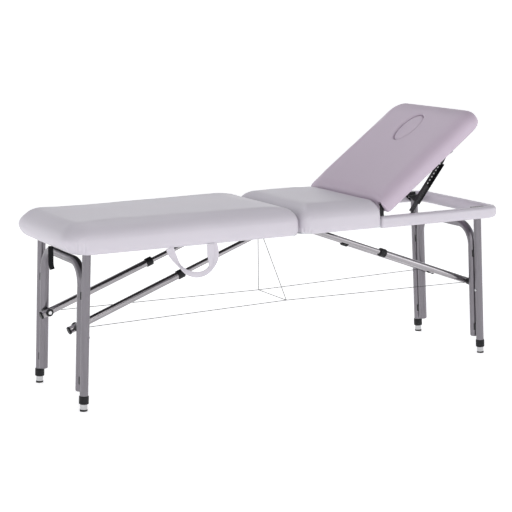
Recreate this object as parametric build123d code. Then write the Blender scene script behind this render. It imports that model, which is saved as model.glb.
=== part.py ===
from build123d import *
import math
import os

# Portable massage table: two leaves joined by a centre hinge, four telescopic feet,
# telescopic struts, stay cables, and a tilting backrest with a face plug.
# Millimetres. +X runs from the foot end to the head end, +Y away from the near side, +Z up.
# The origin is on the floor below the middle of the table.

# ---- overall sizes ----
HALF_LENGTH = 960
HALF_WIDTH = 300
UNDERSIDE_Z = 590
RAIL_TOP_Z = 634
PAD_TOP_Z = 700
CENTRE_GAP = 1.5           # each pad stops this far from the centre plane
FIT = 0.3                  # gap between curved faces that only touch
END_CORNER_R = 70
CENTRE_CORNER_R = 45
COVER_T = 3

# ---- leaf frame ----
BEAM_T = 24
FRAME_Y = 288              # outer face of the side beams
FRAME_X0 = 6
FRAME_X1 = 948
FOOT_FRAME_X1 = 920        # the foot cushion overhangs its frame and tucks in beneath
FRAME_Z0 = 592
DECK_Z0 = 626
DECK_Z1 = 632
FRAME_CORNER_R = 58
FRAME_CENTRE_R = 40
SEAT_X1 = 362
CROSS_BAR_X0 = 334         # flat bar over the side beams, clear of the folded legs
RAIL_INNER_Y = 255.5
RAIL_INNER_X = 914

# ---- centre hinge ----
HINGE_Z = 582
KNUCKLE_R = 5.5
HINGE_PIN_R = 2.5
HINGE_Y = 180
HINGE_LENGTH = 100
HINGE_KNUCKLES = 5

# ---- legs ----
SPLAY = math.degrees(math.atan(0.05))
LEG_PIVOT = (872.7, 606)   # x and z of the leg pivot on the head leaf
LEG_LENGTH = LEG_PIVOT[1] / math.cos(math.radians(SPLAY))
TUBE_Y = 238               # straight outer tube
TUBE_R = 16
TUBE_WALL = 1.5
U_Y = 196                  # bent inner tube
U_R = 17
U_WALL = 2
U_BEND_R = 85
U_CROSSBAR_DROP = 59       # crossbar axis below the leg pivot
U_END_UP = 72              # lower end of the bent tube above the floor
COLLAR_UP = (27, 58)
COLLAR_R = 18.5
FOOT_R = 14
INNER_R = 12
INNER_TOP_UP = 330
BUTTON_UP = 275
PIVOT_PIN_R = 5

# ---- struts ----
STRUT_Y = 150
STRUT_LOW_UP = 300.4       # lower strut pivot above the floor, along the leg
STRUT_TOP = (62, 607)      # x and z of the upper strut pivot
STRUT_TUBE_R = 14
STRUT_ROD_R = 10
STRUT_TUBE_LENGTH = 456    # from the lower pivot to the collar end
STRUT_ROD_LENGTH = 470
STRUT_TAIL = 27            # tube past the lower pivot
COLLAR_LENGTH = 28

# ---- backrest, drawn flat and then tilted about its pivot ----
BACK_PIVOT = (376, 676)
BACK_TILT = 37
BACK_MAX_TILT = 42
BACK_X = (373, 958)
BACK_Z = (636, 714)
BACK_CLEAR_X = 363.5       # the raised backrest stays behind this plane
BOARD_T = 9
HOLE_X = BACK_PIVOT[0] + 412
HOLE_A = 82
HOLE_B = 58
HOLE_LEDGE = 12

# ---- backrest braces ----
BRACE_Y = 240
BRACE_TOP = (774, 626)     # x and z with the backrest flat
BRACE_LOW = (519.4, 612)
CHANNEL_LENGTH = 258
CHANNEL_HALF = 12
CHANNEL_TAPER = 60
ARM_LENGTH = 160
ARM_HALF = 9
ARM_STEP = 35              # the arm steps outwards this far above its rail pivot
ARM_OUTER_Y = (255, 258.5)

# ---- cables ----
CABLE_R = 1.25
CABLE_END = (871, 172, 299)
CABLE_NODE = (22, 120, 300)
CABLE_ANCHOR = (-36, 10, 586)

os.makedirs("parts", exist_ok=True)


# ---------------------------------------------------------------- helpers
def block(x, y, z):
    """A box from its low and high limits on each axis."""
    size = [b - a for a, b in (x, y, z)]
    centre = [(a + b) / 2 for a, b in (x, y, z)]
    return Pos(*centre) * Box(*size)


def bar(start, end, radius):
    """A round bar between two points."""
    run = Vector(end) - Vector(start)
    plane = Plane(origin=start, z_dir=run)
    return plane * Cylinder(radius, run.length, align=(Align.CENTER, Align.CENTER, Align.MIN))


def disc(x, y, z, radius):
    """A round boss along Y between two y values."""
    return bar((x, y[0], z), (x, y[1], z), radius)


def plate(points, y):
    """A flat plate in the X-Z plane between two y values."""
    face = make_face(Polyline(*[(px, 0, pz) for px, pz in points], close=True))
    solid = extrude(face, amount=y[1] - y[0], dir=(0, 1, 0))
    return Pos(0, y[0], 0) * solid


def slab(x, half_y, z, start_r, end_r):
    """A flat block with rounded corners in plan at its low-x and high-x ends."""
    solid = block(x, (-half_y, half_y), z)
    for radius, picked in ((start_r, 0), (end_r, -1)):
        if radius:
            edges = solid.edges().filter_by(Axis.Z).group_by(Axis.X)[picked]
            solid = fillet(edges, radius)
    return solid


def round_top(solid, radius):
    return fillet(solid.faces().sort_by(Axis.Z)[-1].edges(), radius)


def far_and_near(solid):
    """The solid on the far side and its mirror on the near side."""
    return [solid, mirror(solid, about=Plane.XZ)]


def in_side(solid, side):
    """Solids are drawn at the head end; the foot end is their mirror."""
    return solid if side == "head" else mirror(solid, about=Plane.YZ)


def solids_of(shapes):
    found = []
    for shape in shapes:
        found += list(shape.solids())
    return found


def save(name, shapes):
    solids = solids_of(shapes)
    part = solids[0] if len(solids) == 1 else Compound(children=solids)
    export_step(part, f"parts/{name}.step")


# ---------------------------------------------------------------- leaves
def frame_ring(end_x=FRAME_X1, grow=0):
    """Beams round the edge of a leaf; grow widens it to cut clearance."""
    outer = slab((FRAME_X0 - grow, end_x + grow), FRAME_Y + grow,
                 (FRAME_Z0 - grow, DECK_Z0 + grow), FRAME_CENTRE_R + grow, FRAME_CORNER_R + grow)
    inner = slab((FRAME_X0 + BEAM_T + grow, end_x - BEAM_T - grow), FRAME_Y - BEAM_T - grow,
                 (FRAME_Z0 - 1, DECK_Z0 + 1), FRAME_CENTRE_R - BEAM_T - grow,
                 FRAME_CORNER_R - BEAM_T - grow)
    return outer - inner


def pad_body(x, z, start_r, end_r, top_r, inset=0):
    """The outer form of a cushion, moved inwards by inset on every side but the bottom."""
    body = slab((x[0] + inset, x[1] - inset), HALF_WIDTH - inset, (z[0], z[1] - inset),
                max(start_r - inset, 0), max(end_r - inset, 0))
    return round_top(body, top_r - inset)


def screw_points(side_x):
    return [(side_x, HINGE_Y + dy) for dy in (-35, 0, 35)]


def drill_hinge_screws(solid):
    for x, y in screw_points(18):
        for sign in (1, -1):
            solid -= bar((x, sign * y, 580), (x, sign * y, 606), 2.05)
    return solid


def foot_pad():
    x = (CENTRE_GAP, HALF_LENGTH)
    z = (UNDERSIDE_Z, PAD_TOP_Z)
    radii = (CENTRE_CORNER_R, END_CORNER_R, 28)
    cover = pad_body(x, z, *radii) - pad_body(x, (z[0] - 5, z[1]), *radii, inset=COVER_T)
    core = pad_body(x, (FRAME_Z0, z[1]), *radii, inset=COVER_T + FIT)
    under_deck = slab((-5, FOOT_FRAME_X1 + FIT), FRAME_Y + FIT, (500, DECK_Z1 + FIT), 0,
                      FRAME_CORNER_R)
    foam = core - under_deck
    deck = slab((FRAME_X0, FOOT_FRAME_X1), FRAME_Y, (DECK_Z0, DECK_Z1), FRAME_CENTRE_R,
                FRAME_CORNER_R)
    save("foot_cover", [in_side(cover, "foot")])
    save("foot_foam", [in_side(foam, "foot")])
    save("foot_deck", [in_side(deck, "foot")])
    save("foot_frame", [in_side(drill_hinge_screws(frame_ring(FOOT_FRAME_X1)), "foot")])


def head_frame():
    ring = drill_hinge_screws(frame_ring())
    cross = block((CROSS_BAR_X0, SEAT_X1 - 2), (-FRAME_Y, FRAME_Y), (DECK_Z0, RAIL_TOP_Z))
    deck = slab((FRAME_X0, CROSS_BAR_X0), FRAME_Y, (DECK_Z0, DECK_Z1), FRAME_CENTRE_R, 0)
    save("head_frame", [ring + cross])
    save("seat_deck", [deck])


def seat_pad():
    """Seat cushion: covered down to the underside outside, and down to the rails at its back."""
    x = (CENTRE_GAP, SEAT_X1)
    z = (UNDERSIDE_Z, PAD_TOP_Z)
    radii = (CENTRE_CORNER_R, 0, 28)
    cover = pad_body(x, z, *radii) - pad_body(x, (z[0] - 5, z[1]), *radii, inset=COVER_T)
    cover -= block((SEAT_X1 - 8, SEAT_X1 + 8), (-296, 296), (500, RAIL_TOP_Z + FIT))
    core = pad_body(x, (FRAME_Z0, z[1]), *radii, inset=COVER_T + FIT)
    foam = core - block((-5, SEAT_X1 + 5), (-FRAME_Y - FIT, FRAME_Y + FIT), (500, DECK_Z1 + FIT))
    foam -= block((CROSS_BAR_X0 - 2, SEAT_X1 + 5), (-FRAME_Y - 2, FRAME_Y + 2),
                  (DECK_Z0, RAIL_TOP_Z + FIT))
    save("seat_cover", [cover])
    save("seat_foam", [foam])


def hinge_post_slot(y_mid):
    return block((362, 394), (y_mid - 10, y_mid + 10), (RAIL_TOP_Z - 12, 694))


def rail_covers():
    """Padded sleeve round the side rails and the head end, open towards the seat."""
    start = SEAT_X1 + FIT
    outer = slab((start, HALF_LENGTH), HALF_WIDTH, (UNDERSIDE_Z, RAIL_TOP_Z), 0, END_CORNER_R)
    inner = slab((start - 10, RAIL_INNER_X), RAIL_INNER_Y, (500, 700), 0, 24)
    sleeve = outer - inner
    sleeve = fillet(sleeve.faces().sort_by(Axis.Z)[-1].edges(), 9)
    sleeve = fillet(sleeve.faces().sort_by(Axis.Z)[0].edges(), 7)
    sleeve -= frame_ring(grow=FIT)
    for sign in (1, -1):
        sleeve -= block((822, 892), sorted((sign * 250, sign * 264.5)), (580, 640))
        sleeve -= block((BRACE_LOW[0] - 26, BRACE_LOW[0] + 50), sorted((sign * 250, sign * 264.5)),
                        (580, 640))
        sleeve -= block((365, 387), sorted((sign * 271, sign * 277)), (620, 640))
    save("rail_covers", [sleeve])


# ---------------------------------------------------------------- centre hinge
def hinge_leaf(first):
    """One flap of each centre hinge, with every other knuckle, and its screw holes."""
    step = HINGE_LENGTH / HINGE_KNUCKLES
    low = HINGE_Y - HINGE_LENGTH / 2
    leaf = block((8, 28), (low, low + HINGE_LENGTH), (587.6, UNDERSIDE_Z + 2))
    leaf -= block((8, 40), (0, 400), (UNDERSIDE_Z, 600))
    for i in range(first, HINGE_KNUCKLES, 2):
        y = (low + i * step + 0.2, low + (i + 1) * step - 0.2)
        leaf += disc(0, y, HINGE_Z, KNUCKLE_R)
        leaf += block((0, 8.5), y, (585, UNDERSIDE_Z))
    leaf -= disc(0, (low - 5, low + HINGE_LENGTH + 5), HINGE_Z, HINGE_PIN_R + 0.08)
    for x, y in screw_points(18):
        leaf -= bar((x, y, 580), (x, y, 606), 2.05)
    return leaf


def centre_hinges(leg_pins):
    low = HINGE_Y - HINGE_LENGTH / 2
    pin = disc(0, (low, low + HINGE_LENGTH), HINGE_Z, HINGE_PIN_R)
    save("centre_hinge_pins", far_and_near(pin))
    for side, first in (("foot", 0), ("head", 1)):
        leaf = in_side(hinge_leaf(first), side)
        save(f"{side}_hinge_flaps", far_and_near(leaf))
        screws = []
        for x, y in screw_points(18):
            head = bar((x, y, 585.8), (x, y, 587.6), 3.6)
            screws.append(head + bar((x, y, 587.6), (x, y, 604), 2))
        flat = [in_side(one, side) for one in screws]
        screws_both = [both for one in flat for both in far_and_near(one)]
        save(f"{side}_fasteners", screws_both + leg_pins[side])


# ---------------------------------------------------------------- legs
def place_leg(solid):
    """Leg parts are drawn upright with the pivot at the origin, then splayed and hung."""
    return Pos(LEG_PIVOT[0], 0, LEG_PIVOT[1]) * Rot(0, -SPLAY, 0) * solid


def drop(up):
    """Height in the upright leg drawing of a point that is this far above the floor."""
    return up - LEG_LENGTH


def hollow_bar(start, end, radius, wall):
    run = (Vector(end) - Vector(start)).normalized()
    return bar(start, end, radius) - bar(Vector(start) - run, Vector(end) + run, radius - wall)


def bent_frame():
    """Inverted U of round tube with closed, rounded lower ends."""
    top = -U_CROSSBAR_DROP
    end = drop(U_END_UP)
    path = FilletPolyline((0, -U_Y, end), (0, -U_Y, top), (0, U_Y, top), (0, U_Y, end),
                          radius=U_BEND_R)
    start_plane = Plane(origin=(0, -U_Y, end), z_dir=(0, 0, 1))
    outer = sweep(start_plane * Circle(U_R), path=path)
    inner = sweep(start_plane * Circle(U_R - U_WALL), path=path)
    frame = outer - inner
    for sign in (1, -1):
        cap = bar((0, sign * U_Y, end), (0, sign * U_Y, end - 6), U_R)
        cap = fillet(cap.faces().sort_by(Axis.Z)[0].edges(), 5)
        frame += cap
    return frame


def leg_brackets(side):
    """Triangular clevis that carries each leg pivot, with its pin."""
    px, pz = LEG_PIVOT
    outline = [(px - 46, DECK_Z0), (px + 16, DECK_Z0), (px + 14, pz - 6), (px + 8, pz - 13),
               (px - 8, pz - 13), (px - 14, pz - 6)]
    clevis = plate(outline, (255, 258.5)) + plate(outline, (217.5, 221))
    clevis += block((px - 46, px + 16), (217.5, 264), (DECK_Z0 - 2.2, DECK_Z0))
    clevis -= disc(px, (210, 262), pz, PIVOT_PIN_R)
    if side == "head":
        clevis += block((px - 46, px + 16), (251, 254), (DECK_Z0 - 1, RAIL_TOP_Z + 1.7))
        clevis += block((px - 46, px + 16), (251, 268), (RAIL_TOP_Z + 0.2, RAIL_TOP_Z + 1.7))
    else:
        clevis -= frame_ring(FOOT_FRAME_X1, grow=FIT)
    pin = disc(px, (215, 260), pz, PIVOT_PIN_R)
    pin += disc(px, (213, 217.5), pz, 8)
    save(f"{side}_leg_brackets", far_and_near(in_side(clevis, side)))
    return far_and_near(in_side(pin, side))


def leg_parts(side):
    tube = hollow_bar((0, TUBE_Y, drop(COLLAR_UP[1] - 8)), (0, TUBE_Y, 7), TUBE_R, TUBE_WALL)
    tube -= disc(0, (200, 270), 0, PIVOT_PIN_R + 0.08)
    button_z = drop(BUTTON_UP)
    tube -= bar((-30, TUBE_Y, button_z), (0, TUBE_Y, button_z), 4.7)

    collar = bar((0, TUBE_Y, drop(COLLAR_UP[0])), (0, TUBE_Y, drop(COLLAR_UP[1])), COLLAR_R)
    collar = fillet(collar.edges().filter_by(GeomType.CIRCLE), 2.5)
    collar -= bar((0, TUBE_Y, drop(COLLAR_UP[1] - 8)), (0, TUBE_Y, drop(70)), TUBE_R)
    collar -= bar((0, TUBE_Y, drop(0)), (0, TUBE_Y, drop(70)), INNER_R + FIT)

    spacers = []
    for up in (110, 430):
        spacer = block((-11, 11), (U_Y + 6, TUBE_Y - 6), (drop(up) - 14, drop(up) + 14))
        spacer -= bar((0, U_Y, drop(up - 30)), (0, U_Y, drop(up + 30)), U_R)
        spacer -= bar((0, TUBE_Y, drop(up - 30)), (0, TUBE_Y, drop(up + 30)), TUBE_R)
        spacers.append(spacer)

    low = drop(STRUT_LOW_UP)
    lug = disc(0, (STRUT_Y + STRUT_TUBE_R + 0.5, U_Y), low, 15)
    lug -= bar((0, U_Y, low - 30), (0, U_Y, low + 30), U_R)

    named = {"leg_frame": [bent_frame()], "leg_tubes": far_and_near(tube),
             "leg_collars": far_and_near(collar),
             "leg_blocks": [both for one in spacers + [lug] for both in far_and_near(one)]}
    for name, shapes in named.items():
        save(f"{side}_{name}", [in_side(place_leg(one), side) for one in shapes])


def feet(side):
    """Telescopic inner tube, its chrome cup and its rubber pad, cut flat on the floor."""
    bottom = drop(-10)
    inner = hollow_bar((0, TUBE_Y, drop(24)), (0, TUBE_Y, drop(INNER_TOP_UP)), INNER_R, 2)
    for up in range(60, 240, 30):
        inner -= bar((-30, TUBE_Y, drop(up)), (0, TUBE_Y, drop(up)), 4)
    inner += bar((0, TUBE_Y, drop(7)), (0, TUBE_Y, drop(26)), FOOT_R)
    rubber = bar((0, TUBE_Y, bottom), (0, TUBE_Y, drop(7)), FOOT_R + 0.6)
    z = drop(BUTTON_UP)
    button = bar((-18.8, TUBE_Y, z), (-14.6, TUBE_Y, z), 4.4)
    floor = block((-2000, 2000), (-2000, 2000), (-100, 0))
    for sign, where in ((1, "far"), (-1, "near")):
        for name, shape in (("inner_tube", inner), ("foot_pad", rubber), ("button", button)):
            if sign < 0:
                shape = mirror(shape, about=Plane.XZ)
            placed = place_leg(shape) - floor
            save(f"{side}_{where}_{name}", [in_side(placed, side)])


# ---------------------------------------------------------------- struts
def strut_ends():
    low_dir = Vector(math.sin(math.radians(SPLAY)), 0, -math.cos(math.radians(SPLAY)))
    low = Vector(LEG_PIVOT[0], STRUT_Y, LEG_PIVOT[1]) + low_dir * (LEG_LENGTH - STRUT_LOW_UP)
    top = Vector(STRUT_TOP[0], STRUT_Y, STRUT_TOP[1])
    return low, top


def struts(side):
    low, top = strut_ends()
    up = (top - low).normalized()
    tube = hollow_bar(low - up * STRUT_TAIL, low + up * STRUT_TUBE_LENGTH, STRUT_TUBE_R, 2)
    tube -= disc(low.X, (120, 180), low.Z, 4)
    bolt = disc(low.X, (STRUT_Y - 22, STRUT_Y - 17), low.Z, 7)
    bolt += disc(low.X, (STRUT_Y - 17.1, STRUT_Y + STRUT_TUBE_R), low.Z, 4)
    washer = disc(low.X, (STRUT_Y - 17, STRUT_Y - STRUT_TUBE_R), low.Z, 15)
    washer -= disc(low.X, (100, 180), low.Z, 4)

    collar_start = low + up * (STRUT_TUBE_LENGTH - 12)
    collar_mid = low + up * STRUT_TUBE_LENGTH
    collar_end = collar_start + up * COLLAR_LENGTH
    collar = bar(collar_start, collar_end, STRUT_TUBE_R + 3.5)
    collar = fillet(collar.edges().filter_by(GeomType.CIRCLE), 2)
    collar -= bar(collar_start - up, collar_mid, STRUT_TUBE_R)
    collar -= bar(collar_start, collar_end + up, STRUT_ROD_R + FIT)
    cap_face = low - up * STRUT_TAIL
    cap = bar(cap_face - up * 8, cap_face, STRUT_TUBE_R + 1)
    cap = fillet(cap.edges().filter_by(GeomType.CIRCLE), 2)

    rod_end = top - up * STRUT_ROD_LENGTH
    rod = bar(rod_end, top - up * 24, STRUT_ROD_R)
    rod -= bar(rod_end - up, top - up * 40, STRUT_ROD_R - 1.5)
    rod += bar(top - up * 26, top, 7.5)
    rod += disc(top.X, (STRUT_Y - 8, STRUT_Y + 8), top.Z, 11)
    rod -= disc(top.X, (STRUT_Y - 20, STRUT_Y + 20), top.Z, 4.08)

    bracket = block((46, 78), (STRUT_Y - 12, STRUT_Y + 12), (DECK_Z0 - 2, DECK_Z0))
    outline = [(48, DECK_Z0), (76, DECK_Z0), (71, 599), (67, 596), (57, 596), (53, 599)]
    for y in ((STRUT_Y - 12, STRUT_Y - 8.4), (STRUT_Y + 8.4, STRUT_Y + 12)):
        bracket += plate(outline, y)
    bracket += disc(top.X, (STRUT_Y - 14, STRUT_Y + 14), top.Z, 4)

    named = {"strut_tubes": [tube], "strut_bolts": [bolt], "strut_fittings": [washer, collar, cap],
             "strut_rods": [rod], "strut_brackets": [bracket]}
    for name, shapes in named.items():
        both = [one for shape in shapes for one in far_and_near(in_side(shape, side))]
        save(f"{side}_{name}", both)


# ---------------------------------------------------------------- backrest
def tilt(solid, angle=BACK_TILT):
    """Turn a part drawn with the backrest flat up to its rest angle."""
    px, pz = BACK_PIVOT
    return Pos(px, 0, pz) * Rot(0, -angle, 0) * Pos(-px, 0, -pz) * solid


def cut_low_end(solid, inset=0):
    """Square off the backrest's low end, and slant it to clear the seat when raised."""
    start = BACK_X[0] + inset
    solid -= block((start - 100, start), (-400, 400), (500, 800))
    a = math.radians(BACK_MAX_TILT)
    high = (BACK_Z[1] + 20 - BACK_PIVOT[1], BACK_Z[0] - BACK_PIVOT[1])
    reach = BACK_CLEAR_X + inset - BACK_PIVOT[0]
    edge = [(BACK_PIVOT[0] + (reach + dz * math.sin(a)) / math.cos(a), BACK_PIVOT[1] + dz) for dz in high]
    wedge = plate([edge[0], edge[1], (edge[1][0] - 200, edge[1][1]), (edge[1][0] - 200, edge[0][1])],
                  (-400, 400))
    return solid - wedge


def oval(half_x, half_y, z):
    solid = extrude(Plane(origin=(HOLE_X, 0, z[0])) * Ellipse(half_x, half_y), amount=z[1] - z[0])
    return solid


def backrest():
    x, z = BACK_X, BACK_Z
    outer = slab((x[0] - 60, x[1]), HALF_WIDTH, z, 0, END_CORNER_R)
    outer = round_top(outer, 29)
    outer = fillet(outer.faces().sort_by(Axis.Z)[0].edges(), 14)
    outer = cut_low_end(outer)
    inner = slab((x[0] - 50, x[1] - COVER_T), HALF_WIDTH - COVER_T,
                 (z[0] + COVER_T, z[1] - COVER_T), 0, END_CORNER_R - COVER_T)
    inner = round_top(inner, 26)
    inner = fillet(inner.faces().sort_by(Axis.Z)[0].edges(), 11)
    inner = cut_low_end(inner, COVER_T)
    board_z = (z[0] + COVER_T, z[0] + COVER_T + BOARD_T)
    board = slab((x[0] + 20, x[1] - 30), 262, board_z, 10, 50)
    foam = inner & block((300, 1000), (-400, 400), (board_z[1], 800))
    hole = oval(HOLE_A, HOLE_B, (board_z[1], 800))
    drop_hole = oval(HOLE_A - HOLE_LEDGE, HOLE_B - HOLE_LEDGE, (600, 800))
    cover = outer - inner - hole - drop_hole
    foam -= hole
    board -= drop_hole
    for sign in (1, -1):
        slot = hinge_post_slot(sign * 271)
        cover -= slot
        foam -= slot
        foam -= block((370, 442), sorted((sign * 261, sign * 267)), (630, 664))
        board -= slot
    save("backrest_cover", [tilt(cover)])
    save("backrest_foam", [tilt(foam)])
    save("backrest_board", [tilt(board)])

    plug = oval(HOLE_A - 1, HOLE_B - 1, (board_z[1] + FIT, z[1] + 1))
    plug = fillet(plug.faces().sort_by(Axis.Z)[-1].edges(), 6)
    save("face_plug", [tilt(plug)])


def backrest_hinges():
    """Posts on the side rails with fixed pins, and the lugs that turn on them."""
    px, pz = BACK_PIVOT
    post = plate([(px - 10, DECK_Z0), (px + 10, DECK_Z0), (px + 8, pz), (px, pz + 8), (px - 8, pz)],
                 (272, 276))
    post += disc(px, (263.5, 276), pz, 4)
    lug = plate([(px - 3, pz + 9), (px + 9, pz + 4), (px + 16, 656), (px + 64, 648), (px + 64, 640),
                 (px + 14, 640), (px - 3, pz - 12)], (262, 266))
    lug -= disc(px, (255, 280), pz, 4.08)
    return far_and_near(post), far_and_near(lug)


# ---------------------------------------------------------------- braces
def along_brace(solid, start, direction):
    """A part drawn along +X from the origin is laid from start along the brace."""
    angle = math.degrees(math.atan2(direction[1], direction[0]))
    return Pos(start[0], 0, start[1]) * Rot(0, -angle, 0) * solid


def braces():
    px, pz = BACK_PIVOT
    a = math.radians(BACK_TILT)
    dx, dz = BRACE_TOP[0] - px, BRACE_TOP[1] - pz
    top = (px + dx * math.cos(a) - dz * math.sin(a), pz + dx * math.sin(a) + dz * math.cos(a))
    run = (BRACE_LOW[0] - top[0], BRACE_LOW[1] - top[1])
    length = math.hypot(*run)

    wide = CHANNEL_HALF
    taper = CHANNEL_TAPER
    outline = [(0, -6), (taper, -wide), (CHANNEL_LENGTH, -wide), (CHANNEL_LENGTH, wide),
               (taper, wide), (0, 6)]
    web = plate(outline, (BRACE_Y - 8, BRACE_Y - 6)) + disc(0, (BRACE_Y - 8, BRACE_Y - 6), 0, 6)
    for edge in (-wide, wide - 2):
        web += block((taper, CHANNEL_LENGTH), (BRACE_Y - 8, BRACE_Y + 8), (edge, edge + 2))
    for x in range(34, CHANNEL_LENGTH - 8, 16):
        web -= disc(x, (BRACE_Y - 20, BRACE_Y), 0, 3)
    web -= disc(0, (BRACE_Y - 20, BRACE_Y), 0, 4.08)
    channel = along_brace(web, top, run)

    start = length - ARM_LENGTH
    step = length - ARM_STEP
    arm = block((start, step + 4), (BRACE_Y - 3, BRACE_Y + 3), (-ARM_HALF, ARM_HALF))
    for x in range(6, ARM_LENGTH - ARM_STEP - 10, 10):
        arm -= block((start + x, start + x + 4), (200, 260), (-2, 2))
    arm += block((step, step + 4), (BRACE_Y - 3, ARM_OUTER_Y[1]), (-ARM_HALF, ARM_HALF))
    arm += block((step, length), ARM_OUTER_Y, (-8, 8))
    arm += disc(length, ARM_OUTER_Y, 0, 8)
    arm = along_brace(arm, top, run)

    lx, lz = BRACE_LOW
    rail_block = block((lx - 15, lx + 15), (ARM_OUTER_Y[1] + FIT, 264), (594, DECK_Z0))
    tx, tz = BRACE_TOP
    fork = block((tx - 18, tx + 18), (BRACE_Y - 12.5, BRACE_Y + 12.5), (BACK_Z[0] - 3, BACK_Z[0]))
    ears = [(tx - 18, BACK_Z[0]), (tx + 18, BACK_Z[0]), (tx + 8, tz - 8), (tx - 8, tz - 8)]
    for y in ((BRACE_Y - 12.5, BRACE_Y - 9), (BRACE_Y + 8.4, BRACE_Y + 12.5)):
        fork += plate(ears, y)
    fork += disc(tx, (BRACE_Y - 14.5, BRACE_Y + 14), tz, 4)

    save("brace_channels", far_and_near(channel))
    save("brace_arms", far_and_near(arm))
    posts, lugs = backrest_hinges()
    save("backrest_rail_brackets", posts + far_and_near(rail_block))
    save("backrest_brackets", [tilt(one) for one in lugs + far_and_near(fork)])


# ---------------------------------------------------------------- cables and straps
def cable(points):
    """A taut cable: straight from point to point."""
    runs = [bar(a, b, CABLE_R) for a, b in zip(points, points[1:])]
    joined = runs[0]
    for run in runs[1:]:
        joined += run
    for point in points[1:-1]:
        joined += Pos(*point) * Sphere(CABLE_R)
    return joined


def cables():
    ex, ey, ez = CABLE_END
    nx, ny, nz = CABLE_NODE
    ax, ay, az = CABLE_ANCHOR
    sides, hangers = [], []
    anchor = block((-44, -8), (-20, 20), (UNDERSIDE_Z - 1, FRAME_Z0))
    for sign in (1, -1):
        sides.append(cable([(-ex, sign * ey, ez), (nx, sign * ny, nz), (ex, sign * ey, ez)]))
        hangers.append(cable([(nx, sign * (ny - 3), nz + 4), (ax, sign * ay, az - 9.5)]))
        anchor += disc(ax, sorted((sign * (ay - 3), sign * (ay + 3))), az - 2, 6)
    anchor -= block((-60, 0), (-40, 40), (FRAME_Z0, 640))
    cross = cable([(nx, -ny + 3, nz), (nx, ny - 3, nz)])
    save("side_cables", sides)
    save("cable_hangers", hangers + [cross])
    save("cable_anchor", [anchor])


def straps():
    """Webbing: a carry loop on the near side and a closing strap at the foot end."""
    y = (-294, -290)
    drop_left = plate([(-580, 592), (-548, 592), (-500, 505), (-455, 480), (-450, 470), (-490, 478),
                       (-530, 510)], y)
    drop_right = plate([(-412, 592), (-380, 592), (-388, 520), (-425, 480), (-455, 470), (-455, 480),
                        (-420, 500)], y)
    save("carry_strap", [drop_left + drop_right])
    closing = Pos(-936, -30, 546) * Rot(0, 0, -29) * Box(20, 2, 92)
    save("closing_strap", [closing])


def main():
    foot_pad()
    head_frame()
    seat_pad()
    rail_covers()
    leg_pins = {side: leg_brackets(side) for side in ("foot", "head")}
    centre_hinges(leg_pins)
    for side in ("foot", "head"):
        leg_parts(side)
        feet(side)
        struts(side)
    backrest()
    braces()
    cables()
    straps()


main()
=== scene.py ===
import math

import bmesh
import bpy
from mathutils import Matrix, Vector, noise


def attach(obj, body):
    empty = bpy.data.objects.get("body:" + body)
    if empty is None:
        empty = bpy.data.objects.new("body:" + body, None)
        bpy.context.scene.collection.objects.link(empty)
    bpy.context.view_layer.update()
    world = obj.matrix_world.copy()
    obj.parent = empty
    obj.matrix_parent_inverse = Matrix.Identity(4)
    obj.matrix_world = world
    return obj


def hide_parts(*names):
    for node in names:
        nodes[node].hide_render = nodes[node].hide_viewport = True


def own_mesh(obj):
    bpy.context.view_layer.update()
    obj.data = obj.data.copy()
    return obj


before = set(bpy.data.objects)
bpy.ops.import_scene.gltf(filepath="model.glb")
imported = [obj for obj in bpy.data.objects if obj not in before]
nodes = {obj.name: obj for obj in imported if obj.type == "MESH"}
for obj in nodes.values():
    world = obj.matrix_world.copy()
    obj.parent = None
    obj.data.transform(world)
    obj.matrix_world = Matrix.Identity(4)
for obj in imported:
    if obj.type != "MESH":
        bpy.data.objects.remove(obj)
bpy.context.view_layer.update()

# Sizes in metres, as in the CAD.
HALF_WIDTH = 0.300
HALF_LENGTH = 0.960
UNDERSIDE = 0.590
PAD_TOP = 0.700
RAIL_TOP = 0.634
FRAME_Y = 0.288
DECK_TOP = 0.6323
SEAT_END = 0.362
END_CORNER = 0.070
CENTRE_CORNER = 0.045
BACK_PIVOT = Vector((0.376, 0, 0.676))
BACK_TILT = math.radians(37)
BACK_START = 0.3745
BACK_END = 0.958
BACK_LOW = 0.636
BACK_HIGH = 0.714
HOLE_X = 0.788
HOLE_A = 0.082
HOLE_B = 0.058
HOLE_LEDGE = 0.012
CABLE_RADIUS = 0.00125
CABLE_END = Vector((0.871, 0.172, 0.299))
CABLE_NODE = Vector((0.022, 0.120, 0.300))
CABLE_ANCHOR = Vector((-0.036, 0.010, 0.577))
STRAP_TOP = 0.5925          # height at which the straps meet the underside

# Cushions: they start a little small and then swell.
SLACK = 0.003
BACK_SLACK = 0.002
BOTTOM_ROUND = 0.018        # lower edge of the foot and seat cushions
PRESSURE = 4.0
SWELL = 0.008               # most that the foot and seat coverings may move
BACK_SWELL = 0.007
VOXEL = 0.008
BACK_VOXEL = 0.007
WELL_GAP = 0.0003           # between a cushion and the frame that sits up inside it


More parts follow.
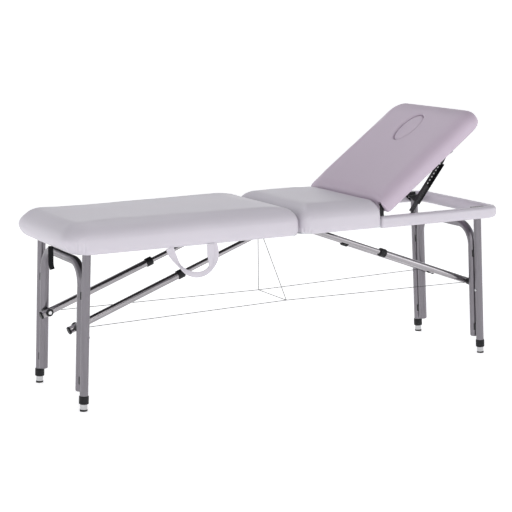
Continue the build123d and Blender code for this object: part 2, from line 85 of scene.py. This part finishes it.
# ---------------------------------------------------------------- camera, light and floor
def make_camera():
    """The photograph's own viewpoint: a long lens from the foot end, on the near side."""
    yaw, pitch, roll = 0.50757, 0.18345, -0.00377
    level = math.cos(pitch)
    ahead = Vector((math.sin(yaw) * level, math.cos(yaw) * level, -math.sin(pitch)))
    right = Vector((math.cos(yaw), -math.sin(yaw), 0))
    up = right.cross(ahead)
    across = math.cos(roll) * right + math.sin(roll) * up
    above = -math.sin(roll) * right + math.cos(roll) * up
    data = bpy.data.cameras.new("camera")
    data.sensor_width = 36
    data.lens = 106.81
    data.shift_x = -0.0725
    data.shift_y = 0.0112
    data.clip_end = 200
    camera = bpy.data.objects.new("camera", data)
    bpy.context.collection.objects.link(camera)
    turn = Matrix((across, above, -ahead)).transposed().to_4x4()
    turn.translation = (-2.8665, -5.3714, 1.5692)
    camera.matrix_world = turn
    bpy.context.scene.camera = camera


def area_light(name, place, target, size, power, colour=(1, 1, 1)):
    data = bpy.data.lights.new(name, "AREA")
    data.size = size
    data.energy = power
    data.color = colour
    light = bpy.data.objects.new(name, data)
    light.location = place
    light.rotation_euler = (Vector(target) - Vector(place)).to_track_quat("-Z", "Y").to_euler()
    bpy.context.collection.objects.link(light)


def make_studio():
    """Soft light from three sides, on a floor and a backdrop that are lit to white."""
    world = bpy.data.worlds.new("studio")
    world.use_nodes = True
    background = world.node_tree.nodes["Background"]
    background.inputs["Color"].default_value = (0.97, 0.98, 1.0, 1)
    background.inputs["Strength"].default_value = 0.40
    bpy.context.scene.world = world
    bpy.context.scene.view_settings.view_transform = "Standard"
    area_light("key", (-1.6, -4.6, 3.3), (0, 0, 0.6), 2.4, 44, (1.0, 0.985, 0.97))
    area_light("fill", (3.6, -3.4, 1.8), (0.4, 0, 0.5), 2.6, 20)
    area_light("back", (0.2, 2.2, 3.6), (0, 0, 0.6), 2.5, 22, (0.97, 0.98, 1.0))
    paint = shaded("floor_paint", (0.93, 0.93, 0.935), 0.8, vary=(0.6, 0.01))
    glow = paint.node_tree.nodes["Principled BSDF"].inputs
    glow["Emission Color"].default_value = (1, 1, 1, 1)
    glow["Emission Strength"].default_value = 0.55
    bpy.ops.mesh.primitive_plane_add(size=120, location=(0, 0, 0))
    floor = bpy.context.object
    bpy.ops.mesh.primitive_cylinder_add(vertices=96, radius=56, depth=20, end_fill_type="NOTHING",
                                        location=(0, 0, 9.9))
    backdrop = bpy.context.object
    for name, surface in (("floor", floor), ("backdrop", backdrop)):
        surface.name = name
        surface.data.materials.append(paint)


# ---------------------------------------------------------------- materials
def srgb(r, g, b):
    """Linear colour from 0..255 display values."""
    return tuple((c / 255) ** 2.2 for c in (r, g, b))


def shaded(name, colour, roughness, metallic=0.0, vary=None, grain=None, cells=None, brushed=None,
           coat=0.0, specular=0.5):
    """A node material: colour variation, roughness variation and one or two bump layers.

    vary is (scale, amount); grain and cells are (scale, strength, depth); brushed is a stretch.
    """
    mat = bpy.data.materials.new(name)
    mat.use_nodes = True
    mat.diffuse_color = (*colour, 1)
    tree = mat.node_tree
    new, link = tree.nodes.new, tree.links.new
    bsdf = tree.nodes["Principled BSDF"]
    bsdf.inputs["Base Color"].default_value = (*colour, 1)
    bsdf.inputs["Metallic"].default_value = metallic
    bsdf.inputs["Roughness"].default_value = roughness
    bsdf.inputs["Coat Weight"].default_value = coat
    bsdf.inputs["Coat Roughness"].default_value = 0.25
    bsdf.inputs["Specular IOR Level"].default_value = specular
    where = new("ShaderNodeTexCoord").outputs["Object"]
    if brushed:
        mapping = new("ShaderNodeMapping")
        mapping.inputs["Scale"].default_value = brushed
        link(where, mapping.inputs["Vector"])
        where = mapping.outputs["Vector"]
    if vary:
        clouds = new("ShaderNodeTexNoise")
        clouds.inputs["Scale"].default_value = vary[0]
        clouds.inputs["Detail"].default_value = 5
        link(where, clouds.inputs["Vector"])
        ramp = new("ShaderNodeValToRGB")
        low, high = 1 - vary[1], 1 + vary[1]
        ramp.color_ramp.elements[0].position = 0.3
        ramp.color_ramp.elements[1].position = 0.7
        ramp.color_ramp.elements[0].color = (*[c * low for c in colour], 1)
        ramp.color_ramp.elements[1].color = (*[min(c * high, 1) for c in colour], 1)
        link(clouds.outputs["Fac"], ramp.inputs["Fac"])
        link(ramp.outputs["Color"], bsdf.inputs["Base Color"])
        rough = new("ShaderNodeMapRange")
        rough.inputs["To Min"].default_value = max(roughness - 0.06, 0.03)
        rough.inputs["To Max"].default_value = min(roughness + 0.08, 1)
        link(clouds.outputs["Fac"], rough.inputs["Value"])
        link(rough.outputs["Result"], bsdf.inputs["Roughness"])
    normal = None
    for kind, layer in (("noise", grain), ("cells", cells)):
        if not layer:
            continue
        scale, strength, depth = layer
        texture = new("ShaderNodeTexNoise" if kind == "noise" else "ShaderNodeTexVoronoi")
        texture.inputs["Scale"].default_value = scale
        link(where, texture.inputs["Vector"])
        bump = new("ShaderNodeBump")
        bump.inputs["Strength"].default_value = strength
        bump.inputs["Distance"].default_value = depth
        height = texture.outputs["Fac"] if kind == "noise" else texture.outputs["Distance"]
        link(height, bump.inputs["Height"])
        if normal:
            link(normal, bump.inputs["Normal"])
        normal = bump.outputs["Normal"]
    if normal:
        link(normal, bsdf.inputs["Normal"])
    return mat


MATERIALS = {
    "vinyl": shaded("vinyl", srgb(200, 195, 204), 0.42, vary=(4, 0.02), grain=(38, 0.12, 0.0016),
                    cells=(820, 0.22, 0.0004), coat=0.08),
    # Painted shade: the same vinyl as the other cushions, given a darker base colour to stand for
    # the shade on the tilted backrest and its face plug.
    "vinyl_back_painted_shade": shaded("vinyl_back_painted_shade", srgb(187, 172, 188), 0.44, vary=(4, 0.02),
                         grain=(38, 0.12, 0.0016), cells=(820, 0.22, 0.0004), coat=0.08),
    "aluminium": shaded("aluminium", (0.60, 0.60, 0.63), 0.32, metallic=1, vary=(60, 0.06),
                        brushed=(1, 1, 0.06), grain=(900, 0.06, 0.0002)),
    "leg": shaded("leg", (0.215, 0.203, 0.222), 0.30, metallic=1, vary=(50, 0.08),
                  brushed=(1, 1, 0.08), grain=(700, 0.06, 0.0002)),
    "strut": shaded("strut", (0.36, 0.345, 0.36), 0.14, metallic=1, vary=(40, 0.08),
                    brushed=(0.08, 1, 0.3), grain=(700, 0.04, 0.0001)),
    "dark_steel": shaded("dark_steel", (0.035, 0.034, 0.037), 0.30, metallic=0.8, vary=(120, 0.2),
                         grain=(900, 0.1, 0.0002)),
    "chrome": shaded("chrome", (0.50, 0.50, 0.51), 0.10, metallic=1, vary=(25, 0.04)),
    "steel": shaded("steel", (0.68, 0.68, 0.70), 0.22, metallic=1, vary=(120, 0.08),
                    grain=(900, 0.08, 0.0002)),
    "cable": shaded("cable", (0.06, 0.06, 0.063), 0.4, metallic=0.6, vary=(300, 0.12),
                    grain=(1500, 0.3, 0.0003)),
    "black_plastic": shaded("black_plastic", (0.010, 0.010, 0.012), 0.45, vary=(60, 0.2),
                            grain=(900, 0.12, 0.0003), specular=0.25),
    "black_steel": shaded("black_steel", (0.009, 0.009, 0.010), 0.36, vary=(50, 0.25),
                          grain=(500, 0.1, 0.0002), specular=0.25),
    "rubber": shaded("rubber", (0.016, 0.016, 0.016), 0.75, vary=(80, 0.2),
                     grain=(700, 0.2, 0.0004), specular=0.3),
    "webbing": shaded("webbing", (0.009, 0.009, 0.011), 0.9, vary=(200, 0.3),
                      cells=(620, 0.6, 0.0008), specular=0.2),
    "board": shaded("board", (0.050, 0.047, 0.050), 0.7, vary=(14, 0.2), brushed=(0.3, 5, 5),
                    grain=(260, 0.3, 0.0004), specular=0.3),
    "foam": shaded("foam", (0.72, 0.68, 0.58), 0.95, vary=(60, 0.06), cells=(500, 0.5, 0.001)),
}

# The first of these words found in a node's name gives its material.
NODE_MATERIALS = (
    ("leg_frame", "leg"), ("leg_tubes", "leg"), ("strut_tubes", "strut"), ("strut_rods", "strut"),
    ("inner_tube", "chrome"), ("foot_pad", "rubber"), ("button", "steel"), ("deck", "board"),
    ("board", "board"), ("foam", "foam"), ("brace_channels", "black_steel"),
    ("brace_arms", "dark_steel"), ("brackets", "black_steel"), ("leg_blocks", "black_plastic"),
    ("leg_collars", "black_plastic"), ("strut_fittings", "black_plastic"),
    ("anchor", "black_plastic"), ("cable", "cable"), ("strap", "webbing"), ("hinge", "steel"),
    ("fasteners", "steel"), ("bolts", "steel"), ("frame", "aluminium"),
)


def paint_cad_nodes():
    for name, obj in nodes.items():
        for part, key in NODE_MATERIALS:
            if part in name:
                obj.data.materials.clear()
                obj.data.materials.append(MATERIALS[key])
                break


# ---------------------------------------------------------------- mesh helpers
def object_from(name, bm, material, smooth=True):
    bmesh.ops.recalc_face_normals(bm, faces=bm.faces)
    mesh = bpy.data.meshes.new(name)
    bm.to_mesh(mesh)
    bm.free()
    obj = bpy.data.objects.new(name, mesh)
    bpy.context.collection.objects.link(obj)
    mesh.materials.append(MATERIALS[material])
    if smooth:
        mesh.polygons.foreach_set("use_smooth", [True] * len(mesh.polygons))
    return obj


def apply_modifiers(obj):
    bpy.context.view_layer.update()
    deps = bpy.context.evaluated_depsgraph_get()
    mesh = bpy.data.meshes.new_from_object(obj.evaluated_get(deps))
    obj.modifiers.clear()
    obj.data = mesh
    return obj


def plan_ring(x0, x1, half_y, r0, r1, z, steps=9):
    """Points round a rectangle with rounded corners, the same number whatever its size."""
    ring = []
    corners = ((x1, half_y, r1, 0), (x0, half_y, r0, 90),
               (x0, -half_y, r0, 180), (x1, -half_y, r1, 270))
    for cx, cy, r, start in corners:
        r = max(r, 0.0005)
        mx = cx - math.copysign(r, cx - (x0 + x1) / 2)
        my = cy - math.copysign(r, cy)
        for i in range(steps + 1):
            a = math.radians(start + 90 * i / steps)
            ring.append(Vector((mx + r * math.cos(a), my + r * math.sin(a), z)))
    return ring


def loft(rings):
    """Skin over rings that all have the same number of points, closed at both ends."""
    bm = bmesh.new()
    made = [[bm.verts.new(p) for p in ring] for ring in rings]
    count = len(made[0])
    for a, b in zip(made, made[1:]):
        for i in range(count):
            j = (i + 1) % count
            bm.faces.new((a[i], a[j], b[j], b[i]))
    bm.faces.new(list(reversed(made[0])))
    bm.faces.new(made[-1])
    return bm


def arc_profile(z0, z1, bottom_r, top, steps=6):
    """(inset, height) pairs from the underside, round the lower edge, up and over the top edge."""
    wide, tall = top
    points = []
    for i in range(steps + 1):
        a = math.pi / 2 * i / steps
        points.append((bottom_r * (1 - math.sin(a)), z0 + bottom_r * (1 - math.cos(a))))
    for i in range(steps + 5):
        a = math.pi / 2 * i / (steps + 4)
        points.append((wide * (1 - math.cos(a)), z1 - tall * (1 - math.sin(a))))
    return points


def pad_form(name, x, half_y, z, r0, r1, bottom_r, top, material, top_scale=(1, 1)):
    """A rounded cushion; top_scale makes the top edge tighter at the low-x and high-x ends."""
    rings = []
    for inset, height in arc_profile(z[0], z[1], bottom_r, top):
        low, high = (inset * scale if height > z[0] + bottom_r else inset for scale in top_scale)
        rings.append(plan_ring(x[0] + low, x[1] - high, half_y - inset,
                               r0 - inset * 0.6, r1 - inset * 0.6, height))
    return object_from(name, loft(rings), material)


def remesh(obj, voxel):
    mod = obj.modifiers.new("even", "REMESH")
    mod.mode = "VOXEL"
    mod.voxel_size = voxel
    mod.use_smooth_shade = True
    return apply_modifiers(obj)


def evened(mesh, values, times):
    """One number per point, spread out over the neighbouring points so that no ridge is left."""
    near = [[] for _ in mesh.vertices]
    for edge in mesh.edges:
        a, b = edge.vertices
        near[a].append(b)
        near[b].append(a)
    for _ in range(times):
        values = [(value + sum(values[i] for i in around) / len(around)) / 2
                  for value, around in zip(values, near)]
    return values


def inflate(obj, held, pressure, cap, frames=20):
    """Blows the covering up with the cloth solver; no point moves outwards by more than cap."""
    start = [(v.co.copy(), v.normal.copy()) for v in obj.data.vertices]
    group = obj.vertex_groups.new(name="held")
    for v in obj.data.vertices:
        weight = held(v.co)
        if weight > 0:
            group.add([v.index], weight, "REPLACE")
    cloth = obj.modifiers.new("cloth", "CLOTH")
    settings = cloth.settings
    settings.quality = 4
    settings.mass = 0.3
    settings.tension_stiffness = 8
    settings.compression_stiffness = 8
    settings.shear_stiffness = 4
    settings.bending_stiffness = 2
    settings.use_pressure = True
    settings.uniform_pressure_force = pressure
    settings.vertex_group_mass = "held"
    settings.effector_weights.gravity = 0
    cloth.collision_settings.use_collision = False
    scene = bpy.context.scene
    for step in range(1, frames + 1):
        scene.frame_set(step)
    apply_modifiers(obj)
    obj.vertex_groups.clear()
    rises = []
    for v, (before, outward) in zip(obj.data.vertices, start):
        rises.append(min(max((v.co - before).dot(outward), -0.0005), cap))
    rises = evened(obj.data, rises, 16)
    for v, (before, outward), rise in zip(obj.data.vertices, start, rises):
        slip = v.co - before
        slip -= outward * slip.dot(outward)
        if slip.length > cap / 2:
            slip *= cap / 2 / slip.length
        v.co = before + slip * 0.3 + outward * rise
    scene.frame_set(1)
    return obj


def soften(obj, times):
    mod = obj.modifiers.new("soft", "SMOOTH")
    mod.factor = 0.5
    mod.iterations = times
    return apply_modifiers(obj)


def subdivide(obj):
    mod = obj.modifiers.new("fine", "SUBSURF")
    mod.levels = 1
    mod.render_levels = 1
    return apply_modifiers(obj)


def reshape(obj, move):
    for v in obj.data.vertices:
        v.co = move(v.co)
    return obj


def cut(obj, cutters):
    """Takes the cutters' space out of a closed mesh."""
    for cutter in cutters:
        mod = obj.modifiers.new("cut", "BOOLEAN")
        mod.operation = "DIFFERENCE"
        mod.solver = "EXACT"
        mod.object = cutter
        apply_modifiers(obj)
        bpy.data.objects.remove(cutter)
    return obj


def cutter(name, rings):
    return object_from(name, loft(rings), "vinyl", smooth=False)


def box_form(name, x, y, z):
    return cutter(name, [[Vector((x[0], y[0], h)), Vector((x[1], y[0], h)),
                          Vector((x[1], y[1], h)), Vector((x[0], y[1], h))] for h in z])


def oval_ring(a, b, z, steps):
    """Points round an oval at the face hole."""
    return [Vector((HOLE_X + a * math.cos(t), b * math.sin(t), z))
            for t in (2 * math.pi * i / steps for i in range(steps))]


def oval_form(name, inset, z):
    return cutter(name, [oval_ring(HOLE_A - inset, HOLE_B - inset, h, 72) for h in z])


def frame_well(x0, x1, r0, r1):
    """The space for the frame and deck under a cushion."""
    half_y = FRAME_Y + WELL_GAP
    return cutter("well", [plan_ring(x0, x1, half_y, r0, r1, z) for z in (0.5, DECK_TOP)])


def tilted(co):
    """A point drawn with the backrest flat, moved to where the backrest rests."""
    turn = Matrix.Rotation(-BACK_TILT, 3, "Y")
    return BACK_PIVOT + turn @ (co - BACK_PIVOT)


# ---------------------------------------------------------------- cushions
def pleats(co, corner, radius, angles, floor_z, reach=0.055, depth=0.0075, width=0.0052):
    """Gathers where the covering is pulled round a corner and under."""
    dx, dy = co.x - corner[0], co.y - corner[1]
    out = math.hypot(dx, dy)
    if out < radius * 0.55 or co.z > floor_z + reach:
        return co
    fade = 1 - (co.z - floor_z) / reach
    here = math.atan2(dy, dx)
    groove = 0.0
    for number, angle in enumerate(angles):
        lean = angle + 0.10 * math.sin(7.0 * number) * (1 - fade)
        gap = abs((here - lean + math.pi) % (2 * math.pi) - math.pi) * radius
        groove += math.exp(-(gap / width) ** 2) * (1.0 if number % 2 else 0.65)
    push = depth * groove * max(fade, 0) ** 0.8
    return co - Vector((dx, dy, 0)) / out * push


def lively(co, size=0.0012, scale=5.5):
    """A slow unevenness of the stuffing below the covering."""
    where = Vector((co.x * scale, co.y * scale, co.z * 3))
    return co + Vector((0, 0, 1)) * size * noise.noise(where)


def corner_pair(x, radius, middle):
    """The centres of a far and a near corner's rounding, each with the angle it faces."""
    return [((x, s * (HALF_WIDTH - radius)), s * middle) for s in (1, -1)]


def gathered(co, corners, radius, count, spread, *shape):
    """Pleats at the corner that a point is in, if it is in one."""
    for corner, middle in corners:
        along = (co.x - corner[0]) * math.cos(math.radians(middle))
        if along > 0 and abs(co.y) > abs(corner[1]) and co.y * corner[1] > 0:
            angles = [math.radians(middle + spread * (i / (count - 1) - 0.5)) for i in range(count)]
            co = pleats(co, corner, radius, angles, *shape)
    return co


def tuck_end(co):
    """Draws the covering in under the foot end, so that the end bulges at half its height."""
    below = max((UNDERSIDE + 0.056 - co.z) / 0.056, 0)
    near_end = min(max((-0.84 - co.x) / 0.10, 0), 1)
    return co + Vector((0.034 * below ** 1.8 * near_end ** 1.5, 0, 0))


def finish_pad(pad, body, fill, slot, *stands_for):
    pad.data.polygons.foreach_set("use_smooth", [True] * len(pad.data.polygons))
    mod = pad.modifiers.new("crisp", "EDGE_SPLIT")
    mod.split_angle = math.radians(50)
    apply_modifiers(pad)
    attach(pad, body)
    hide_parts(*stands_for)


def swell(pad, held, cap):
    inflate(pad, held, PRESSURE, cap)
    soften(pad, 2)
    subdivide(pad)


def foot_cushion():
    overhang = 0.012
    end_round = END_CORNER + overhang
    pad = pad_form("foot_cushion", (-HALF_LENGTH - overhang, -0.001), HALF_WIDTH - SLACK + 0.001,
                   (UNDERSIDE, PAD_TOP - SLACK), end_round, CENTRE_CORNER, BOTTOM_ROUND,
                   (0.078, 0.062), "vinyl", top_scale=(1, 0.7))
    remesh(pad, VOXEL)
    reshape(pad, tuck_end)
    swell(pad, lambda co: 1.0 if co.z < UNDERSIDE + 0.012 or co.x > -0.006 else 0.0, SWELL)
    ends = corner_pair(-HALF_LENGTH + END_CORNER, END_CORNER, 135)
    mids = corner_pair(-CENTRE_CORNER, CENTRE_CORNER, 45)

    def detail(co):
        co = lively(co)
        co = gathered(co, ends, END_CORNER, 6, 74, UNDERSIDE)
        return gathered(co, mids, CENTRE_CORNER, 4, 66, UNDERSIDE, 0.03)

    reshape(pad, detail)
    cut(pad, [frame_well(-0.9203, -0.0058, 0.058, 0.04)])
    finish_pad(pad, "foot_leaf", 0.85, "vinyl_pad", "foot_cover", "foot_foam")


def seat_cushion():
    pad = pad_form("seat_cushion", (0.001, SEAT_END - 0.001), HALF_WIDTH - SLACK + 0.001,
                   (UNDERSIDE, PAD_TOP - SLACK), CENTRE_CORNER, 0.010, BOTTOM_ROUND,
                   (0.074, 0.060), "vinyl", top_scale=(0.7, 0.12))
    remesh(pad, VOXEL)
    swell(pad, lambda co: 1.0 if co.z < UNDERSIDE + 0.012 or co.x < 0.006 else 0.0, SWELL)
    mids = corner_pair(CENTRE_CORNER, CENTRE_CORNER, 135)
    reshape(pad, lambda co: gathered(lively(co), mids, CENTRE_CORNER, 4, 66, UNDERSIDE, 0.03))
    bar_space = box_form("bar_space", (0.332, 0.42), (-0.29, 0.29), (0.5, RAIL_TOP + 0.0005))
    cut(pad, [frame_well(0.0058, 0.42, 0.04, 0.001), bar_space])
    finish_pad(pad, "head_leaf", 0.85, "vinyl_pad", "seat_cover", "seat_foam")


def hole_distance(co):
    """Roughly how far outside the face hole a point is."""
    scale = math.hypot((co.x - HOLE_X) / HOLE_A, co.y / HOLE_B)
    if scale < 1e-6:
        return -HOLE_B
    return (scale - 1) * math.hypot(co.x - HOLE_X, co.y) / scale


def roll_edge(gap, radius, depth):
    """How far a covering drops as it nears the edge of an opening."""
    if gap >= radius:
        return 0.0
    t = min(1 - gap / radius, 1.0)
    return depth * (1 - math.sqrt(max(1 - t * t, 0)))


def slant_low_end(co):
    """The low end leans away from the seat above mid-height, as the CAD solid does."""
    over = max(co.z - 0.692, 0) * 0.93
    near = max(1 - (co.x - 0.374) / 0.06, 0)
    return co + Vector((over * near, 0, 0))


def backrest_cushion():
    # The backrest takes the darker vinyl copy, whose colour is painted shade.
    pad = pad_form("backrest_cushion", (BACK_START, BACK_END + 0.002), HALF_WIDTH - BACK_SLACK,
                   (BACK_LOW + BACK_SLACK * 0.5, BACK_HIGH - BACK_SLACK), 0.010, END_CORNER, 0.014,
                   (0.050, 0.046), "vinyl_back_painted_shade", top_scale=(0.15, 1))
    remesh(pad, BACK_VOXEL)
    reshape(pad, slant_low_end)
    swell(pad, lambda co: 1.0 if co.z < BACK_LOW + 0.006 or co.x < 0.40 else 0.0, BACK_SWELL)
    corners = corner_pair(BACK_END - END_CORNER, END_CORNER, 45)

    def detail(co):
        co = lively(co, 0.001)
        co = gathered(co, corners, END_CORNER, 6, 74, BACK_LOW, 0.035, 0.002)
        if co.z > BACK_HIGH - 0.02:
            gap = hole_distance(co)
            if gap < HOLE_LEDGE:
                co = co - Vector((0, 0, roll_edge(max(gap, 0), HOLE_LEDGE, 0.005)))
        return co

    reshape(pad, detail)
    slots = [box_form("slot", (0.33, 0.394), sorted((s * 0.261, s * 0.281)), (0.58, 0.694))
             for s in (1, -1)]
    cut(pad, [oval_form("hole", 0, (0.648, 0.8)),
              oval_form("through", HOLE_LEDGE, (0.55, 0.66)), *slots])
    reshape(pad, tilted)
    finish_pad(pad, "backrest", 0.85, "vinyl_backrest", "backrest_cover", "backrest_foam")


def face_plug():
    """The oval plug that closes the face hole, with a rolled edge and a slight crown."""
    profile = [(0.004, 0.6487), (0.0, 0.653), (0.0, 0.690), (0.0, 0.7085), (0.0012, 0.7125),
               (0.0045, 0.7150), (0.010, 0.7160), (0.020, 0.7166), (0.036, 0.7170)]
    gap = 0.0016
    rings = [oval_ring(HOLE_A - gap - inset, HOLE_B - gap - inset, height - 0.0005, 96)
             for inset, height in profile]
    # The plug takes the darker vinyl copy, whose colour is painted shade.
    plug = object_from("face_hole_plug", loft(rings), "vinyl_back_painted_shade")
    reshape(plug, tilted)
    subdivide(plug)
    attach(plug, "plug")
    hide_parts("face_plug")


def sleeve_path():
    """Points along the middle of the sleeve, each with its outward direction."""
    start = SEAT_END + 0.0005
    centre_y, centre_x, bend = 0.27775, 0.937, 0.047
    straight = centre_x - bend - start
    path = [(Vector((start + i / 64 * straight, -centre_y, 0)), Vector((0, -1, 0)))
            for i in range(64)]
    for sign, first in ((-1, 270), (1, 0)):
        middle = Vector((centre_x - bend, sign * (centre_y - bend), 0))
        if sign > 0:
            path += [(Vector((centre_x, y, 0)), Vector((1, 0, 0)))
                     for y in ((i / 52 - 0.5) * 2 * (centre_y - bend) for i in range(1, 52))]
        for i in range(15):
            a = math.radians(first + 90 * i / 14)
            side = Vector((math.cos(a), math.sin(a), 0))
            path.append((middle + side * bend, side))
    path += [(Vector((start + t * straight, centre_y, 0)), Vector((0, 1, 0)))
             for t in (1 - i / 64 for i in range(1, 65))]
    return path


def sleeve_section():
    """The sleeve's rounded outline, with three more points along its top."""
    half, tall, corner = 0.0228, 0.0238, 0.015
    section = []
    for cx, cz, first in ((1, 1, 0), (-1, 1, 90), (-1, -1, 180), (1, -1, 270)):
        for i in range(7):
            a = math.radians(first + 90 * i / 6)
            section.append((cx * (half - corner) + corner * math.cos(a),
                            cz * (tall - corner) + corner * math.sin(a)))
        if cx > 0 and cz > 0:
            section += [(u * (half - corner), tall) for u in (0.5, 0, -0.5)]
    return section


def rail_sleeve():
    """Padded sleeve along the side rails and round the head end."""
    notch_x, notch_y = (0.4925, 0.5705), 0.2655     # room for the braces' lower ends
    middle_z = (UNDERSIDE + RAIL_TOP) / 2
    section = sleeve_section()
    rings = []
    for number, (point, side) in enumerate(sleeve_path()):
        ring = []
        for across, height in section:
            swelling = 1 + 0.012 * noise.noise(point * 9 + Vector((0, 0, height * 40)))
            wrinkle = 0.0006 * math.sin(number * 1.9) * noise.noise(point * 30)
            at = point + side * (across * swelling + wrinkle)
            at.z = middle_z + height * swelling
            if notch_x[0] < at.x < notch_x[1] and abs(at.y) < notch_y:
                at.y = math.copysign(notch_y, at.y)
            ring.append(at)
        rings.append(ring)
    sleeve = object_from("rail_sleeve", loft(rings), "vinyl")
    subdivide(sleeve)
    finish_pad(sleeve, "head_leaf", 0.9, "vinyl_pad", "rail_covers")


# ---------------------------------------------------------------- straps and cables
def ribbon(name, path, material, thick):
    """A flat strap. The path gives, for each station, its middle, its width direction and width."""
    fine = []
    for i in range(len(path) - 1):
        p0 = path[max(i - 1, 0)]
        p1, p2 = path[i], path[i + 1]
        p3 = path[min(i + 2, len(path) - 1)]
        for k in range(6):
            t = k / 6
            around = (p0, p1, p2, p3)
            fine.append(tuple(spline(t, *(Vector(p[n]) if n < 2 else p[n] for p in around))
                              for n in range(3)))
    fine.append((Vector(path[-1][0]), Vector(path[-1][1]), path[-1][2]))
    rings = []
    for i, (point, wide, width) in enumerate(fine):
        ahead = fine[min(i + 1, len(fine) - 1)][0] - fine[max(i - 1, 0)][0]
        wide = (wide - ahead.normalized() * wide.dot(ahead.normalized())).normalized()
        out = ahead.normalized().cross(wide)
        ring = []
        for u, v in ((-1, -1), (-0.9, -1.25), (0, -1.1), (0.9, -1.25), (1, -1),
                     (1, 1), (0.9, 1.25), (0, 1.1), (-0.9, 1.25), (-1, 1)):
            ring.append(point + wide * (u * width / 2) + out * (v * thick / 2))
        rings.append(ring)
    return object_from(name, loft(rings), material)


def spline(t, a, b, c, d):
    """Catmull-Rom between b and c."""
    return 0.5 * ((2 * b) + (c - a) * t + (2 * a - 5 * b + 4 * c - d) * t ** 2
                  + (3 * b - a - 3 * c + d) * t ** 3)


def hang_strap(name, path, material, thick, stands_for):
    """A strap under the foot leaf, attached to that leaf's body."""
    strap = ribbon(name, path, material, thick)
    subdivide(strap)
    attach(strap, "foot_leaf")
    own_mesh(strap)
    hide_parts(stands_for)


def straps():
    y = -0.292
    loop = [((-0.564, y + 0.004, STRAP_TOP), (1, 0, 0), 0.032),
            ((-0.558, y + 0.003, 0.573), (1, 0, 0.1), 0.031),
            ((-0.545, y, 0.548), (1, 0.3, 0.3), 0.026),
            ((-0.526, y, 0.520), (0.5, 0.8, 0.6), 0.020),
            ((-0.498, y, 0.494), (0.2, 0.4, 1), 0.020),
            ((-0.460, y, 0.480), (0, 0.1, 1), 0.021),
            ((-0.425, y, 0.483), (-0.2, 0.1, 1), 0.021),
            ((-0.398, y + 0.001, 0.500), (-0.6, 0.3, 0.8), 0.020),
            ((-0.378, y + 0.003, 0.530), (-1, 0.2, 0.3), 0.024),
            ((-0.376, y + 0.004, 0.562), (-1, 0, 0), 0.028),
            ((-0.384, y + 0.004, STRAP_TOP), (-1, 0, 0), 0.030)]
    tab = [((-0.397, y - 0.0005, STRAP_TOP), (1, 0, 0), 0.031),
           ((-0.397, y - 0.001, 0.565), (1, 0, 0), 0.030),
           ((-0.398, y - 0.001, 0.540), (1, 0, 0), 0.024),
           ((-0.399, y - 0.001, 0.515), (1, 0, 0.1), 0.014),
           ((-0.402, y - 0.0005, 0.500), (1, 0, 0.3), 0.008)]
    for name, path in (("carry_loop", loop), ("carry_tab", tab)):
        hang_strap(name, path, "vinyl", 0.0028, "carry_strap")
    face = (0.87, -0.49, 0)
    hang = [((-0.9345, -0.028, STRAP_TOP), face, 0.019),
            ((-0.9345, -0.028, 0.568), face, 0.020),
            ((-0.9355, -0.030, 0.545), face, 0.020),
            ((-0.936, -0.031, 0.522), face, 0.020),
            ((-0.932, -0.033, 0.503), (0.87, -0.49, 0.2), 0.019)]
    hang_strap("closing_tie", hang, "webbing", 0.0022, "closing_strap")


def tube(points, radius, sides=10):
    """A round tube along straight runs, as mesh."""
    rings = []
    for i, p in enumerate(points):
        ahead = (points[min(i + 1, len(points) - 1)] - points[max(i - 1, 0)]).normalized()
        side = ahead.cross(Vector((0, 0, 1)))
        side = side.normalized() if side.length > 0.01 else Vector((1, 0, 0))
        top = side.cross(ahead)
        rings.append([p + radius * (math.cos(a) * side + math.sin(a) * top)
                      for a in (2 * math.pi * k / sides for k in range(sides))])
    return loft(rings)


def lay_wire(name, a, b, parts, body, stands_for):
    """A straight wire from a to b, attached to the given leaf's body."""
    path = [a.lerp(b, i / parts) for i in range(parts + 1)]
    wire = object_from(name, tube(path, CABLE_RADIUS), "cable")
    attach(wire, body)
    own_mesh(wire)
    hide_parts(stands_for)


def on_side(place, side, end=1):
    """A place mirrored to the far (1) or near (-1) side, and to the head (1) or foot (-1) end."""
    return Vector((end * place.x, side * place.y, place.z))


def cables():
    """Stay wires from leg to leg, with two hangers and a cross wire at the centre."""
    for side, where in ((1, "far"), (-1, "near")):
        node = on_side(CABLE_NODE, side)
        for end, leaf in ((-1, "foot"), (1, "head")):
            lay_wire(f"wire_{leaf}_{where}", node, on_side(CABLE_END, side, end), 24,
                     f"{leaf}_leaf", "side_cables")
        lay_wire(f"hanger_{where}", node, on_side(CABLE_ANCHOR, side), 12,
                 "foot_leaf", "cable_hangers")
    lay_wire("wire_cross", on_side(CABLE_NODE, -1), on_side(CABLE_NODE, 1), 12,
             "foot_leaf", "cable_hangers")


paint_cad_nodes()
make_camera()
make_studio()
cables()
straps()
foot_cushion()
seat_cushion()
backrest_cushion()
face_plug()
rail_sleeve()
